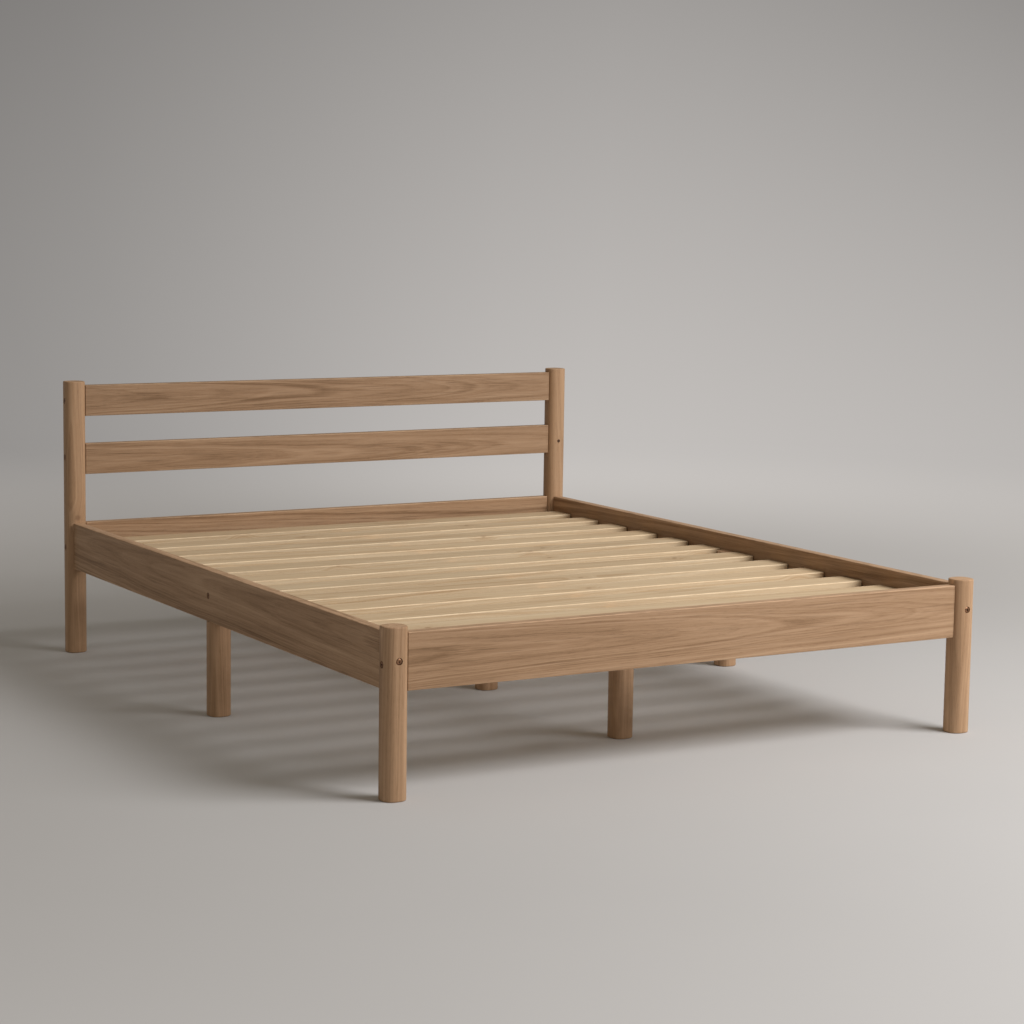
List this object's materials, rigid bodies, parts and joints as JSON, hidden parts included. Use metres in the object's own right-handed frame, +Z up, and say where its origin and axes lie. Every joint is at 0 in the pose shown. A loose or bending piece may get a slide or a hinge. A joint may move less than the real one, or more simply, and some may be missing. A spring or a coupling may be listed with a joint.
{
  "type": "wooden bed frame",
  "caption": "Low wooden double bed frame with rounded square posts, bolted rails, an open two-rail headboard and a slatted base.",
  "frame": {"origin": "on the floor, under the middle of the frame's length and width", "axes": "+Z up, +Y towards the headboard, +X to the right seen from the foot end"},
  "size_m": [1.698, 2.098, 0.8],
  "materials": {
    "frame_wood": "satin clear coat on brown oak",
    "slat_wood": "planed, unfinished light pine",
    "peg_wood": "dark hardwood, end grain, waxed",
    "bolt_bronze": "dark bronze plated, satin",
    "nut_zinc": "bright zinc plated",
    "webbing": "woven natural webbing"
  },
  "bodies": {
    "root": {"foot_post_left": "frame_wood", "foot_rail_bolt_foot_left": "bolt_bronze", "foot_rail_barrel_nut_foot_left": "nut_zinc", "side_rail_bolt_foot_left": "bolt_bronze", "side_rail_barrel_nut_foot_left": "nut_zinc", "foot_post_right": "frame_wood", "foot_rail_bolt_foot_right": "bolt_bronze", "foot_rail_barrel_nut_foot_right": "nut_zinc", "side_rail_bolt_foot_right": "bolt_bronze", "side_rail_barrel_nut_foot_right": "nut_zinc", "head_post_left": "frame_wood", "head_rail_bolt_head_left": "bolt_bronze", "head_rail_barrel_nut_head_left": "nut_zinc", "side_rail_bolt_head_left": "bolt_bronze", "side_rail_barrel_nut_head_left": "nut_zinc", "head_post_right": "frame_wood", "head_rail_bolt_head_right": "bolt_bronze", "head_rail_barrel_nut_head_right": "nut_zinc", "side_rail_bolt_head_right": "bolt_bronze", "side_rail_barrel_nut_head_right": "nut_zinc", "foot_rail": "frame_wood", "head_rail": "frame_wood", "side_rail_left": "frame_wood", "side_rail_right": "frame_wood", "headboard_upper_rail": "frame_wood", "headboard_lower_rail": "frame_wood", "headboard_upper_screw_left": "bolt_bronze", "headboard_lower_screw_left": "bolt_bronze", "headboard_upper_screw_right": "bolt_bronze", "headboard_lower_screw_right": "bolt_bronze", "headboard_tenon_peg_right": "peg_wood", "side_leg_left": "frame_wood", "side_leg_screw_left": "bolt_bronze", "side_leg_right": "frame_wood", "side_leg_screw_right": "bolt_bronze", "centre_beam": "frame_wood", "centre_leg_foot": "frame_wood", "centre_leg_peg_foot": "peg_wood", "centre_leg_middle": "frame_wood", "centre_leg_peg_middle": "peg_wood", "centre_leg_head": "frame_wood", "centre_leg_peg_head": "peg_wood", "slat_ledger_left_foot": "frame_wood", "slat_ledger_left_head": "frame_wood", "slat_ledger_right_foot": "frame_wood", "slat_ledger_right_head": "frame_wood", "slat_01": "slat_wood", "slat_02": "slat_wood", "slat_03": "slat_wood", "slat_04": "slat_wood", "slat_05": "slat_wood", "slat_06": "slat_wood", "slat_07": "slat_wood", "slat_08": "slat_wood", "slat_09": "slat_wood", "slat_10": "slat_wood", "slat_11": "slat_wood", "slat_12": "slat_wood", "slat_strap_left": "webbing", "slat_strap_right": "webbing"}
  },
  "joints": []
}
